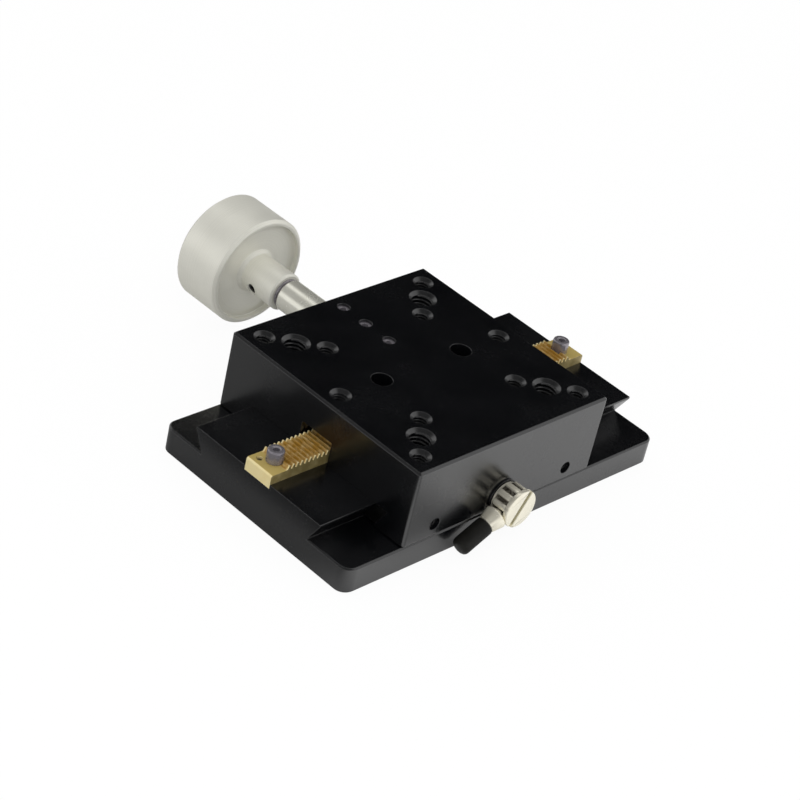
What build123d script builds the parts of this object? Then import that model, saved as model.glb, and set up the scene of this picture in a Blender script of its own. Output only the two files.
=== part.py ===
from build123d import *
from math import acos, asin, cos, pi, radians, sin, tan
import os

os.makedirs("parts", exist_ok=True)

# Rack-and-pinion dovetail stage. Travel is along X, the knob is on the +Y side, the base stands on z = 0.

# Base and dovetail
base_length = 100.0
base_width = 60.0
base_thickness = 6.5
base_corner_radius = 3.0
dovetail_top_width = 40.0
dovetail_height = 5.5
dovetail_angle = 60.0
dovetail_tip_flat = 0.5
edge_break = 0.35
base_hole_spacing_x = 40.0
base_hole_spacing_y = 50.0

# Carriage
carriage_length = 60.0
carriage_top_z = 26.0
rest_x = -4.0
lift_gap = 0.3
slide_gap = 0.03
gib_thickness = 3.0
gib_seat_gap = 0.05
carriage_corner_radius = 0.8
carriage_top_chamfer = 0.5

# Top holes: square patterns, one line pair each side of the middle, and the bush screws
square_m4_wide = 50.0
square_m6 = 40.0
square_m4_narrow = 30.0
line_m4 = 50.0
line_through = 25.0
m4_tap_drill = 3.3
m4_mouth = 4.9
m6_tap_drill = 5.0
m6_mouth = 6.6
through_bore = 5.0
tapped_depth = 8.0

# Rack and pinion
gear_module = 0.4
pinion_teeth = 22
pressure_angle = 20.0
tooth_thinning = 0.025
rack_width = 8.0
rack_body = 3.3
rack_slot_depth = 1.0
rack_pad_length = 4.2
rack_screw_inset = 4.3
rack_screw_head = 3.9
rack_screw_head_height = 3.1
rack_screw_size = 2.0
rack_pin_size = 1.5
rack_pin_inset = 2.1
rack_pin_side = 2.2
channel_side_gap = 0.7
channel_roof_gap = 0.4

# Shaft, bush and knob
shaft_size = 5.0
bush_size = 10.0
bush_inner_y = 8.0
bush_nose_size = 8.0
bush_nose_end_y = 43.0
knob_size = 27.4
knob_length = 13.7
knob_hub_size = 9.4
knob_hub_length = 9.6
knob_rim = 1.3
knob_recess = 1.4
turn_gap = 0.03
seat_gap = 0.02

# Lock screw and lever
lock_height_offset = 0.3
lock_head_size = 9.3
lock_shank_size = 4.0
lock_flutes = 10
lever_droop = 25.0
lever_reach = 16.4
lever_grip_size = 4.4
lever_grip_length = 8.0
lever_root_size = 5.8
gib_screw_spacing = 42.0
gib_screw_size = 3.0

# Heights and gear sizes that follow from the driving dimensions
dovetail_top_z = base_thickness + dovetail_height
flank_start_z = dovetail_top_z - dovetail_tip_flat
flank_slope = 1 / tan(radians(dovetail_angle))
flank_stretch = 1 / sin(radians(dovetail_angle))
dovetail_half_top = dovetail_top_width / 2
dovetail_half_foot = dovetail_half_top - (flank_start_z - base_thickness) * flank_slope
rack_bottom_z = dovetail_top_z - rack_slot_depth
rack_root_z = rack_bottom_z + rack_body
pitch_line_z = rack_root_z + 1.25 * gear_module
rack_top_z = pitch_line_z + gear_module
circular_pitch = pi * gear_module
pitch_radius = gear_module * pinion_teeth / 2
tip_radius = pitch_radius + gear_module
root_radius = pitch_radius - 1.25 * gear_module
shaft_z = pitch_line_z + pitch_radius
carriage_bottom_z = base_thickness + lift_gap
groove_roof_z = dovetail_top_z + slide_gap
channel_roof_z = rack_root_z + rack_screw_head_height + channel_roof_gap
lock_z = (carriage_bottom_z + groove_roof_z) / 2 + lock_height_offset
roof_thickness = carriage_top_z - channel_roof_z
side_y = base_width / 2


def flank(z, off):
    """Half width of the dovetail at height z, moved out by off along its normal."""
    return dovetail_half_foot + (z - base_thickness) * flank_slope + off * flank_stretch


def across(y, x=rest_x, z=shaft_z):
    """Plane square to Y at the given point; its sketch x is X and its sketch y is Z."""
    return Plane(origin=(x, y, z), x_dir=(1, 0, 0), z_dir=(0, -1, 0))


shaft_axis = Axis((rest_x, 0, shaft_z), (0, 1, 0))
shaft_side = Plane(origin=(rest_x, 0, shaft_z), x_dir=(0, 1, 0), z_dir=(1, 0, 0))
lock_axis = Axis((rest_x, 0, lock_z), (0, 1, 0))
lock_side = Plane(origin=(rest_x, 0, lock_z), x_dir=(0, 1, 0), z_dir=(1, 0, 0))

# Base plate with the male dovetail, the rack slot and counterbored mounting holes
with BuildPart() as base_plate:
    with BuildSketch(Plane.XY):
        RectangleRounded(base_length, base_width, base_corner_radius)
    extrude(amount=base_thickness)
    chamfer(base_plate.faces().sort_by(Axis.Z)[-1].edges(), edge_break)
    chamfer(base_plate.faces().sort_by(Axis.Z)[0].edges(), edge_break)
    with BuildSketch(Plane.YZ.offset(-base_length / 2)):
        with BuildLine():
            Polyline(
                (-dovetail_half_foot, base_thickness - 2 * edge_break),
                (dovetail_half_foot, base_thickness - 2 * edge_break),
                (dovetail_half_foot, base_thickness),
                (dovetail_half_top, flank_start_z),
                (dovetail_half_top, dovetail_top_z),
                (-dovetail_half_top, dovetail_top_z),
                (-dovetail_half_top, flank_start_z),
                (-dovetail_half_foot, base_thickness),
                close=True,
            )
        make_face()
    extrude(amount=base_length)
    with BuildSketch(Plane.XY.offset(rack_bottom_z)):
        Rectangle(base_length + 2, rack_width + 2 * seat_gap)
    extrude(amount=rack_slot_depth + 1, mode=Mode.SUBTRACT)
    with BuildSketch(Plane.XY.offset(rack_bottom_z)):
        for end in (-1, 1):
            with Locations((end * (base_length / 2 - rack_screw_inset), 0)):
                Circle(rack_screw_size / 2 + seat_gap)
            with Locations((end * (base_length / 2 - rack_pin_inset), rack_pin_side)):
                Circle(rack_pin_size / 2 + seat_gap)
    extrude(amount=-5.5, mode=Mode.SUBTRACT)
    with Locations(Location((0, 0, base_thickness))):
        with GridLocations(base_hole_spacing_x, base_hole_spacing_y, 2, 2):
            CounterBoreHole(radius=2.25, counter_bore_radius=4.0, counter_bore_depth=4.2, depth=base_thickness + 1)
base_plate.part.label = "base_plate"
export_step(base_plate.part, "parts/base_plate.step")

# Brass rack: straight 20 degree teeth between two flat end pads that lie at the tooth roots
rack_half = base_length / 2
toothed_half = rack_half - rack_pad_length
pitch_half_thickness = circular_pitch / 4 - tooth_thinning
top_half_thickness = pitch_half_thickness - gear_module * tan(radians(pressure_angle))
foot_half_thickness = pitch_half_thickness + 1.25 * gear_module * tan(radians(pressure_angle))
rack_profile = [(-rack_half, rack_bottom_z), (rack_half, rack_bottom_z)]
rack_profile += [(rack_half, rack_root_z - edge_break), (rack_half - edge_break, rack_root_z)]
first_tooth = int((toothed_half - rest_x) / circular_pitch) + 2
for step in range(first_tooth, -first_tooth - 1, -1):
    middle = rest_x + (step + 0.5) * circular_pitch
    if abs(middle) + foot_half_thickness < toothed_half:
        rack_profile.append((middle + foot_half_thickness, rack_root_z))
        rack_profile.append((middle + top_half_thickness, rack_top_z))
        rack_profile.append((middle - top_half_thickness, rack_top_z))
        rack_profile.append((middle - foot_half_thickness, rack_root_z))
rack_profile += [(-rack_half + edge_break, rack_root_z), (-rack_half, rack_root_z - edge_break)]
with BuildPart() as rack:
    with BuildSketch(across(-rack_width / 2, 0, 0)):
        with BuildLine():
            Polyline(*rack_profile, close=True)
        make_face()
    extrude(amount=-rack_width)
    with BuildSketch(Plane.XY.offset(rack_root_z)):
        for end in (-1, 1):
            with Locations((end * (base_length / 2 - rack_screw_inset), 0)):
                Circle(rack_screw_head / 2 + 0.2)
    extrude(amount=gear_module * 3, mode=Mode.SUBTRACT)
    with BuildSketch(Plane.XY.offset(rack_bottom_z)):
        for end in (-1, 1):
            with Locations((end * (base_length / 2 - rack_screw_inset), 0)):
                Circle(rack_screw_size / 2 + seat_gap)
            with Locations((end * (base_length / 2 - rack_pin_inset), rack_pin_side)):
                Circle(rack_pin_size / 2 + seat_gap)
    extrude(amount=rack_body, mode=Mode.SUBTRACT)
rack.part.label = "rack"
export_step(rack.part, "parts/rack.step")

# Two socket cap screws that hold the rack down, heads on its end pads
with BuildPart() as rack_screws:
    for end in (-1, 1):
        screw_x = end * (base_length / 2 - rack_screw_inset)
        with BuildSketch(Plane.XY.offset(rack_root_z)):
            with Locations((screw_x, 0)):
                Circle(rack_screw_head / 2)
        extrude(amount=rack_screw_head_height)
        with BuildSketch(Plane.XY.offset(rack_root_z)):
            with Locations((screw_x, 0)):
                Circle(rack_screw_size / 2)
        extrude(amount=-rack_body - 5.0)
        with BuildSketch(Plane.XY.offset(rack_root_z + rack_screw_head_height)):
            with Locations((screw_x, 0)):
                RegularPolygon(0.75, 6, major_radius=False)
        extrude(amount=-1.1, mode=Mode.SUBTRACT)
    rims = rack_screws.edges().filter_by(GeomType.CIRCLE).group_by(Axis.Z)[-1]
    chamfer(rims, 0.2)
rack_screws.part.label = "rack_screws"
export_step(rack_screws.part, "parts/rack_screws.step")

# Two dowel pins that place the rack along the base, sunk a little below its pads
with BuildPart() as rack_pins:
    with BuildSketch(Plane.XY.offset(rack_bottom_z - 5.4)):
        for end in (-1, 1):
            with Locations((end * (base_length / 2 - rack_pin_inset), rack_pin_side)):
                Circle(rack_pin_size / 2)
    extrude(amount=rack_body + 5.4 - 0.6)
rack_pins.part.label = "rack_pins"
export_step(rack_pins.part, "parts/rack_pins.step")

# Carriage: block with the dovetail groove, gib pocket, rack channel, pinion bore and top hole patterns
gib_side_off = slide_gap + gib_thickness + gib_seat_gap
groove_low_z = carriage_bottom_z - 1.0
pinion_bore_end_y = -rack_width / 2 - 2.5
with BuildPart() as carriage_block:
    with BuildSketch(Plane.XY.offset(carriage_bottom_z)):
        with Locations((rest_x, 0)):
            RectangleRounded(carriage_length, base_width, carriage_corner_radius)
    extrude(amount=carriage_top_z - carriage_bottom_z)
    chamfer(carriage_block.faces().sort_by(Axis.Z)[-1].edges(), carriage_top_chamfer)
    with BuildSketch(Plane.YZ.offset(rest_x - carriage_length / 2 - 1)):
        with BuildLine():
            Polyline(
                (flank(groove_low_z, slide_gap), groove_low_z),
                (flank(groove_roof_z, slide_gap), groove_roof_z),
                (rack_width / 2 + channel_side_gap, groove_roof_z),
                (rack_width / 2 + channel_side_gap, channel_roof_z),
                (-rack_width / 2 - channel_side_gap, channel_roof_z),
                (-rack_width / 2 - channel_side_gap, groove_roof_z),
                (-flank(groove_roof_z, gib_side_off), groove_roof_z),
                (-flank(groove_low_z, gib_side_off), groove_low_z),
                close=True,
            )
        make_face()
    extrude(amount=carriage_length + 2, mode=Mode.SUBTRACT)
    # Bore for the pinion and its bush, open to the rack channel below
    with BuildSketch(across(pinion_bore_end_y)):
        Circle(bush_size / 2 + seat_gap)
    extrude(amount=-(side_y - pinion_bore_end_y), mode=Mode.SUBTRACT)
    # Tapped holes for the lock screw and the two gib screws in the -Y side
    with BuildSketch(across(-side_y, rest_x, lock_z)):
        Circle(lock_shank_size / 2 + turn_gap)
        with GridLocations(gib_screw_spacing, 1, 2, 1):
            Circle(gib_screw_size / 2 + seat_gap)
    extrude(amount=-side_y / 2, mode=Mode.SUBTRACT)
    with Locations(Location((rest_x, 0, carriage_top_z))):
        with GridLocations(square_m4_wide, square_m4_wide, 2, 2):
            CounterSinkHole(m4_tap_drill / 2, m4_mouth / 2, depth=tapped_depth, counter_sink_angle=90)
        with GridLocations(square_m6, square_m6, 2, 2):
            CounterSinkHole(m6_tap_drill / 2, m6_mouth / 2, depth=tapped_depth + 2, counter_sink_angle=90)
        with GridLocations(square_m4_narrow, square_m4_narrow, 2, 2):
            CounterSinkHole(m4_tap_drill / 2, m4_mouth / 2, depth=tapped_depth, counter_sink_angle=90)
        # The two pairs on the middle line break through into the rack channel
        with GridLocations(line_m4, 1, 2, 1):
            CounterSinkHole(m4_tap_drill / 2, m4_mouth / 2, depth=roof_thickness + 1, counter_sink_angle=90)
        with GridLocations(line_through, 1, 2, 1):
            Hole(through_bore / 2, depth=roof_thickness + 1)
        # Three tapped holes over the bush
        with Locations((0, 25.8), (0, 18.4), (0, 10.7)):
            Hole(1.5 + seat_gap, depth=carriage_top_z - shaft_z)
carriage_block.part.label = "carriage_block"
export_step(carriage_block.part, "parts/carriage_block.step")

# Gib strip between the carriage and the -Y dovetail flank, with dimples for its two screws
gib_low_z = carriage_bottom_z + 0.3
gib_high_z = groove_roof_z - 0.2
gib_back_y = -flank(lock_z, slide_gap + gib_thickness)
with BuildPart() as gib:
    with BuildSketch(Plane.YZ.offset(rest_x - carriage_length / 2 + 0.5)):
        with BuildLine():
            Polyline(
                (-flank(gib_low_z, slide_gap), gib_low_z),
                (-flank(gib_high_z, slide_gap), gib_high_z),
                (-flank(gib_high_z, slide_gap + gib_thickness), gib_high_z),
                (-flank(gib_low_z, slide_gap + gib_thickness), gib_low_z),
                close=True,
            )
        make_face()
    extrude(amount=carriage_length - 1)
    with BuildSketch(across(gib_back_y + 1.0, rest_x, lock_z)):
        with GridLocations(gib_screw_spacing, 1, 2, 1):
            Circle(1.15)
    extrude(amount=6.0, mode=Mode.SUBTRACT)
gib.part.label = "gib"
export_step(gib.part, "parts/gib.step")

# Two dog point set screws that press the gib
with BuildPart() as gib_screws:
    with BuildSketch(across(gib_back_y - 1.6, rest_x, lock_z)):
        with GridLocations(gib_screw_spacing, 1, 2, 1):
            Circle(gib_screw_size / 2)
    extrude(amount=side_y + gib_back_y - 1.6 - 0.9)
    with BuildSketch(across(gib_back_y - 1.6, rest_x, lock_z)):
        with GridLocations(gib_screw_spacing, 1, 2, 1):
            Circle(1.0)
    extrude(amount=-2.5)
    with BuildSketch(across(-side_y + 0.9, rest_x, lock_z)):
        with GridLocations(gib_screw_spacing, 1, 2, 1):
            RegularPolygon(0.75, 6, major_radius=False)
    extrude(amount=-1.5, mode=Mode.SUBTRACT)
gib_screws.part.label = "gib_screws"
export_step(gib_screws.part, "parts/gib_screws.step")

# Brass pad between the lock screw and the gib, its end cut to the slope of the gib
lock_tip_y = gib_back_y - 3.4
with BuildPart() as lock_pad:
    with BuildSketch(across(lock_tip_y + turn_gap, rest_x, lock_z)):
        Circle(lock_shank_size / 2 - seat_gap)
    extrude(amount=-6.0)
    with BuildSketch(Plane.YZ.offset(rest_x - lock_shank_size)):
        with BuildLine():
            Polyline(
                (-flank(lock_z - 4, slide_gap + gib_thickness + seat_gap), lock_z - 4),
                (-flank(lock_z + 4, slide_gap + gib_thickness + seat_gap), lock_z + 4),
                (0, lock_z + 4),
                (0, lock_z - 4),
                close=True,
            )
        make_face()
    extrude(amount=2 * lock_shank_size, mode=Mode.SUBTRACT)
lock_pad.part.label = "lock_pad"
export_step(lock_pad.part, "parts/lock_pad.step")

# Pinion bush: a body in the carriage bore and a long polished nose out to the knob
with BuildPart() as pinion_bush:
    with BuildSketch(shaft_side):
        with BuildLine():
            Polyline(
                (bush_inner_y, shaft_size / 2 + turn_gap),
                (bush_inner_y, bush_size / 2 - edge_break),
                (bush_inner_y + edge_break, bush_size / 2),
                (side_y, bush_size / 2),
                (side_y, bush_nose_size / 2),
                (bush_nose_end_y - edge_break, bush_nose_size / 2),
                (bush_nose_end_y, bush_nose_size / 2 - edge_break),
                (bush_nose_end_y, shaft_size / 2 + turn_gap),
                close=True,
            )
        make_face()
    revolve(axis=shaft_axis)
    # Seats for the three set screws
    with BuildSketch(Plane.XY.offset(shaft_z + bush_size / 2 - 1.6)):
        with Locations((rest_x, 25.8), (rest_x, 18.4), (rest_x, 10.7)):
            Circle(1.55)
    extrude(amount=3.0, mode=Mode.SUBTRACT)
pinion_bush.part.label = "pinion_bush"
export_step(pinion_bush.part, "parts/pinion_bush.step")

# Three set screws that clamp the bush
bush_screw_low_z = shaft_z + bush_size / 2 - 1.6
bush_screw_top_z = carriage_top_z - 0.6
with BuildPart() as bush_screws:
    with BuildSketch(Plane.XY.offset(bush_screw_low_z)):
        with Locations((rest_x, 25.8), (rest_x, 18.4), (rest_x, 10.7)):
            Circle(1.5)
    extrude(amount=bush_screw_top_z - bush_screw_low_z)
    with BuildSketch(Plane.XY.offset(bush_screw_top_z)):
        with Locations((rest_x, 25.8), (rest_x, 18.4), (rest_x, 10.7)):
            RegularPolygon(0.75, 6, major_radius=False)
    extrude(amount=-1.3, mode=Mode.SUBTRACT)
bush_screws.part.label = "bush_screws"
export_step(bush_screws.part, "parts/bush_screws.step")

# Pinion: involute teeth, one pointing straight down into the rack at rest, and a pinned hub
base_radius = pitch_radius * cos(radians(pressure_angle))


def involute(angle):
    return tan(angle) - angle


def tooth_half_angle(radius):
    """Half the angle that a tooth takes up at a radius, from its involute flank."""
    at_pitch = pi / (2 * pinion_teeth) - tooth_thinning / pitch_radius
    roll = acos(min(1.0, base_radius / radius))
    return at_pitch + involute(radians(pressure_angle)) - involute(roll)


flank_radii = [root_radius]
for step in range(4):
    flank_radii.append(base_radius + (tip_radius - base_radius) * step / 3)
pinion_profile = []
for tooth in range(pinion_teeth):
    middle = -pi / 2 + tooth * 2 * pi / pinion_teeth
    for radius in flank_radii:
        half = tooth_half_angle(radius)
        pinion_profile.append((radius * cos(middle - half), radius * sin(middle - half)))
    for radius in reversed(flank_radii):
        half = tooth_half_angle(radius)
        pinion_profile.append((radius * cos(middle + half), radius * sin(middle + half)))
hub_end_y = rack_width / 2 + 3.2
pin_y = rack_width / 2 + 1.6
pin_size = 1.5
with BuildPart() as pinion:
    with BuildSketch(across(-rack_width / 2)):
        with BuildLine():
            Polyline(*pinion_profile, close=True)
        make_face()
    extrude(amount=-rack_width)
    with BuildSketch(across(rack_width / 2)):
        Circle(root_radius - 0.1)
    extrude(amount=-(hub_end_y - rack_width / 2))
    with BuildSketch(across(-rack_width / 2 - 1)):
        Circle(shaft_size / 2 + seat_gap)
    extrude(amount=-(hub_end_y + rack_width), mode=Mode.SUBTRACT)
    with BuildSketch(Plane.XY.offset(shaft_z - tip_radius)):
        with Locations((rest_x, pin_y)):
            Circle(pin_size / 2 + seat_gap)
    extrude(amount=2 * tip_radius, mode=Mode.SUBTRACT)
pinion.part.label = "pinion"
export_step(pinion.part, "parts/pinion.step")

# Pinion shaft with a clip groove and a cross hole
clip_y = -rack_width / 2 - 0.3
shaft_start_y = -rack_width / 2 - 1.8
hub_start_y = bush_nose_end_y + 1.0
knob_inner_y = hub_start_y + knob_hub_length
knob_outer_y = knob_inner_y + knob_length
shaft_end_y = knob_outer_y - 7.0
with BuildPart() as pinion_shaft:
    with BuildSketch(shaft_side):
        with BuildLine():
            Polyline(
                (shaft_start_y, 0),
                (shaft_start_y, shaft_size / 2 - 0.3),
                (shaft_start_y + 0.3, shaft_size / 2),
                (clip_y - 0.64, shaft_size / 2),
                (clip_y - 0.64, shaft_size / 2 - 0.5),
                (clip_y, shaft_size / 2 - 0.5),
                (clip_y, shaft_size / 2),
                (shaft_end_y - 0.3, shaft_size / 2),
                (shaft_end_y, shaft_size / 2 - 0.3),
                (shaft_end_y, 0),
                close=True,
            )
        make_face()
    revolve(axis=shaft_axis)
    with BuildSketch(Plane.XY.offset(shaft_z - shaft_size)):
        with Locations((rest_x, pin_y)):
            Circle(pin_size / 2 + seat_gap)
    extrude(amount=2 * shaft_size, mode=Mode.SUBTRACT)
pinion_shaft.part.label = "pinion_shaft"
export_step(pinion_shaft.part, "parts/pinion_shaft.step")

# Cross pin through the pinion hub and the shaft
with BuildPart() as pinion_pin:
    with BuildSketch(Plane.XY.offset(shaft_z - root_radius + 0.3)):
        with Locations((rest_x, pin_y)):
            Circle(pin_size / 2)
    extrude(amount=2 * root_radius - 0.6)
pinion_pin.part.label = "pinion_pin"
export_step(pinion_pin.part, "parts/pinion_pin.step")

# Retaining clip at the inner end of the shaft, open on one side
with BuildPart() as shaft_clip:
    with BuildSketch(across(clip_y - 0.6)):
        Circle(shaft_size / 2 + 1.1)
        Circle(shaft_size / 2 - 0.5 + seat_gap, mode=Mode.SUBTRACT)
        with Locations((0, shaft_size / 2)):
            Rectangle(shaft_size - 1.6, shaft_size, mode=Mode.SUBTRACT)
    extrude(amount=-0.56)
shaft_clip.part.label = "shaft_clip"
export_step(shaft_clip.part, "parts/shaft_clip.step")

# Thrust washer between the pinion hub and the bush
with BuildPart() as thrust_washer:
    with BuildSketch(across(hub_end_y + seat_gap)):
        Circle(bush_size / 2 - 0.6)
        Circle(shaft_size / 2 + turn_gap, mode=Mode.SUBTRACT)
    extrude(amount=-(bush_inner_y - hub_end_y - seat_gap - turn_gap))
thrust_washer.part.label = "thrust_washer"
export_step(thrust_washer.part, "parts/thrust_washer.step")

# Spring washer between the bush nose and the knob hub, dished like a cup
with BuildPart() as wave_washer:
    with BuildSketch(shaft_side):
        with BuildLine():
            Polyline(
                (bush_nose_end_y + turn_gap, shaft_size / 2 + turn_gap),
                (bush_nose_end_y + turn_gap + 0.4, shaft_size / 2 + turn_gap),
                (hub_start_y - turn_gap, bush_nose_size / 2 - edge_break),
                (hub_start_y - turn_gap - 0.4, bush_nose_size / 2 - edge_break),
                close=True,
            )
        make_face()
    revolve(axis=shaft_axis)
wave_washer.part.label = "wave_washer"
export_step(wave_washer.part, "parts/wave_washer.step")

# Knob: plain turned drum with a raised rim round a shallow recess, and a hub towards the carriage
knob_radius = knob_size / 2
knob_screw_y = hub_start_y + 6.7
knob_screw_size = 2.5
knob_screw_plane = Plane(
    origin=(rest_x, knob_screw_y, shaft_z),
    x_dir=(0, 1, 0),
    z_dir=(-sin(radians(110)), 0, cos(radians(110))),
)
with BuildPart() as knob:
    with BuildSketch(shaft_side):
        with BuildLine():
            Polyline(
                (hub_start_y, shaft_size / 2 + seat_gap),
                (hub_start_y, knob_hub_size / 2 - 0.4),
                (hub_start_y + 0.4, knob_hub_size / 2),
                (knob_inner_y + knob_recess - 0.8, knob_hub_size / 2),
                (knob_inner_y + knob_recess, knob_hub_size / 2 + 0.8),
                (knob_inner_y + knob_recess, knob_radius - knob_rim),
                (knob_inner_y, knob_radius - knob_rim),
                (knob_inner_y, knob_radius - 0.7),
                (knob_inner_y + 0.7, knob_radius),
                (knob_outer_y - 0.7, knob_radius),
                (knob_outer_y, knob_radius - 0.7),
                (knob_outer_y, 0),
                (shaft_end_y + 0.2, 0),
                (shaft_end_y + 0.2, shaft_size / 2 + seat_gap),
                close=True,
            )
        make_face()
    revolve(axis=shaft_axis)
    with BuildSketch(knob_screw_plane):
        Circle(knob_screw_size / 2 + seat_gap)
    extrude(amount=knob_hub_size / 2 + 1, mode=Mode.SUBTRACT)
knob.part.label = "knob"
export_step(knob.part, "parts/knob.step")

# Set screw of the knob, its tip against the shaft
with BuildPart() as knob_screw:
    with BuildSketch(knob_screw_plane.offset(shaft_size / 2 + seat_gap)):
        Circle(knob_screw_size / 2)
    extrude(amount=knob_hub_size / 2 - shaft_size / 2 - 0.4)
    with BuildSketch(knob_screw_plane.offset(knob_hub_size / 2 - 0.38)):
        RegularPolygon(0.65, 6, major_radius=False)
    extrude(amount=-1.1, mode=Mode.SUBTRACT)
knob_screw.part.label = "knob_screw"
export_step(knob_screw.part, "parts/knob_screw.step")

# Washer under the lock screw
lock_washer_face_y = -side_y - 0.35
with BuildPart() as lock_washer:
    with BuildSketch(across(-side_y, rest_x, lock_z)):
        Circle(4.2)
        Circle(lock_shank_size / 2 + 0.15, mode=Mode.SUBTRACT)
    extrude(amount=0.35)
lock_washer.part.label = "lock_washer"
export_step(lock_washer.part, "parts/lock_washer.step")

# Lock screw: slotted cap, fluted barrel, collar and shank
lock_collar_y = lock_washer_face_y - turn_gap
lock_barrel_y = lock_collar_y - 0.9
lock_cap_y = lock_barrel_y - 3.6
lock_face_y = lock_cap_y - 1.1
lever_y = (lock_barrel_y + lock_cap_y) / 2
barrel_radius = lock_head_size / 2 - 0.25
lever_plane = Plane(
    origin=(rest_x, lever_y, lock_z),
    x_dir=(0, 1, 0),
    z_dir=(-cos(radians(lever_droop)), 0, -sin(radians(lever_droop))),
)
with BuildPart() as lock_screw:
    with BuildSketch(across(lock_tip_y, rest_x, lock_z)):
        Circle(lock_shank_size / 2)
    extrude(amount=lock_tip_y - lock_collar_y)
    with BuildSketch(across(lock_collar_y, rest_x, lock_z)):
        Circle(3.9)
    extrude(amount=0.9)
    with BuildSketch(across(lock_barrel_y, rest_x, lock_z)):
        Circle(barrel_radius)
        with PolarLocations(barrel_radius + 0.2, lock_flutes, start_angle=180 + lever_droop + 18):
            Circle(0.9, mode=Mode.SUBTRACT)
    extrude(amount=3.6)
    with BuildSketch(across(lock_cap_y, rest_x, lock_z)):
        Circle(lock_head_size / 2)
    extrude(amount=1.1)
    chamfer(lock_screw.faces().sort_by(Axis.Y)[0].edges(), 0.3)
    with BuildSketch(across(lock_face_y, rest_x, lock_z)):
        Rectangle(1.2, lock_head_size + 1, rotation=-29)
    extrude(amount=-1.0, mode=Mode.SUBTRACT)
    with BuildSketch(lever_plane.offset(1.8)):
        Circle(1.5 + seat_gap)
    extrude(amount=lock_head_size, mode=Mode.SUBTRACT)
lock_screw.part.label = "lock_screw"
export_step(lock_screw.part, "parts/lock_screw.step")

# Lever arm: spigot in the barrel, a taper outwards and a thin rod inside the grip
grip_start = lever_reach - lever_grip_length
arm_root = lock_head_size / 2 + 0.05
with BuildPart() as lever_arm:
    with BuildSketch(lever_plane.offset(1.85)):
        Circle(1.5)
    extrude(amount=arm_root - 1.85)
    with BuildSketch(lever_plane.offset(arm_root)):
        Circle(lever_root_size / 2)
    with BuildSketch(lever_plane.offset(grip_start - 0.3)):
        Circle(lever_grip_size / 2 - 0.1)
    loft()
    with BuildSketch(lever_plane.offset(grip_start - 0.3)):
        Circle(lever_grip_size / 2 - 0.1)
    extrude(amount=0.25)
    with BuildSketch(lever_plane.offset(grip_start - 0.05)):
        Circle(1.2)
    extrude(amount=lever_grip_length - 1.0)
lever_arm.part.label = "lever_arm"
export_step(lever_arm.part, "parts/lever_arm.step")

# Black sleeve on the lever
with BuildPart() as lever_grip:
    with BuildSketch(lever_plane.offset(grip_start)):
        Circle(lever_grip_size / 2)
    extrude(amount=lever_grip_length)
    tip = lever_grip.faces().sort_by(Axis(lever_plane.origin, lever_plane.z_dir))[-1]
    chamfer(tip.edges(), 0.7)
    with BuildSketch(lever_plane.offset(grip_start)):
        Circle(1.2 + seat_gap)
    extrude(amount=lever_grip_length - 0.9, mode=Mode.SUBTRACT)
lever_grip.part.label = "lever_grip"
export_step(lever_grip.part, "parts/lever_grip.step")
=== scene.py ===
import math

import bmesh
import bpy
from mathutils import Matrix, Vector


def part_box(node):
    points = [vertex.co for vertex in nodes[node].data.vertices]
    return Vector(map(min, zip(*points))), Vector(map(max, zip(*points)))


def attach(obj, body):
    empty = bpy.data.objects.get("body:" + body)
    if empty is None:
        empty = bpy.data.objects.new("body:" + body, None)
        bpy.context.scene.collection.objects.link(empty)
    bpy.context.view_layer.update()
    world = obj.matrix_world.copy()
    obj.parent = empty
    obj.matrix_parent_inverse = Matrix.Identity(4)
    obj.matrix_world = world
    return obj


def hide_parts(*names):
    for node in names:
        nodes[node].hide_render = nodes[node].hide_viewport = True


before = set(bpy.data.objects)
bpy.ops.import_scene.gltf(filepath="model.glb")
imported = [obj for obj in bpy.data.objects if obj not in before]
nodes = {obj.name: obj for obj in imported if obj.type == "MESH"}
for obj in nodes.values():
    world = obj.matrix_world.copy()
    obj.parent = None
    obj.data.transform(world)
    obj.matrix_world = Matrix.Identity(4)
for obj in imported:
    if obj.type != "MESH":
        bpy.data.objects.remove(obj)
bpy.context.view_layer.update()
print("frame loaded:", len(nodes), "nodes")

cameraPose = {
    "azimuth": -51.585,  # degrees, 0 looks along +Y
    "elevation": 32.934,
    "roll": 13.507,
    "offset": (-0.0002251, 0.0133592, 0.5719424),  # right, down and forward of the pivot
    "pivot": (-0.004, 0.0, 0.0),  # middle of the carriage at the base's underside
    "focal": 2523.4987,  # pixels in an 800 pixel frame
    "frame": 800,
    "sensor": 36,
    "near": 0.01,
    "far": 20,
}


def addCamera(pose):
    azimuth, elevation, roll = (math.radians(pose[k]) for k in ("azimuth", "elevation", "roll"))
    flat = math.cos(elevation)
    back = Vector((math.sin(azimuth) * flat, -math.cos(azimuth) * flat, math.sin(elevation)))
    level = (-back).cross(Vector((0, 0, 1))).normalized()
    up = level.cross(-back)
    right = math.cos(roll) * level + math.sin(roll) * up
    top = -math.sin(roll) * level + math.cos(roll) * up
    x, y, z = pose["offset"]
    place = Vector(pose["pivot"]) - right * x + top * y + back * z
    data = bpy.data.cameras.new("camera")
    data.sensor_width = pose["sensor"]
    data.lens = pose["focal"] * pose["sensor"] / pose["frame"]
    data.clip_start = pose["near"]
    data.clip_end = pose["far"]
    camera = bpy.data.objects.new("camera", data)
    camera.matrix_world = Matrix((
        (right.x, top.x, back.x, place.x),
        (right.y, top.y, back.y, place.y),
        (right.z, top.z, back.z, place.z),
        (0, 0, 0, 1),
    ))
    bpy.context.scene.collection.objects.link(camera)
    bpy.context.scene.camera = camera


addCamera(cameraPose)
print("camera placed")


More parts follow.
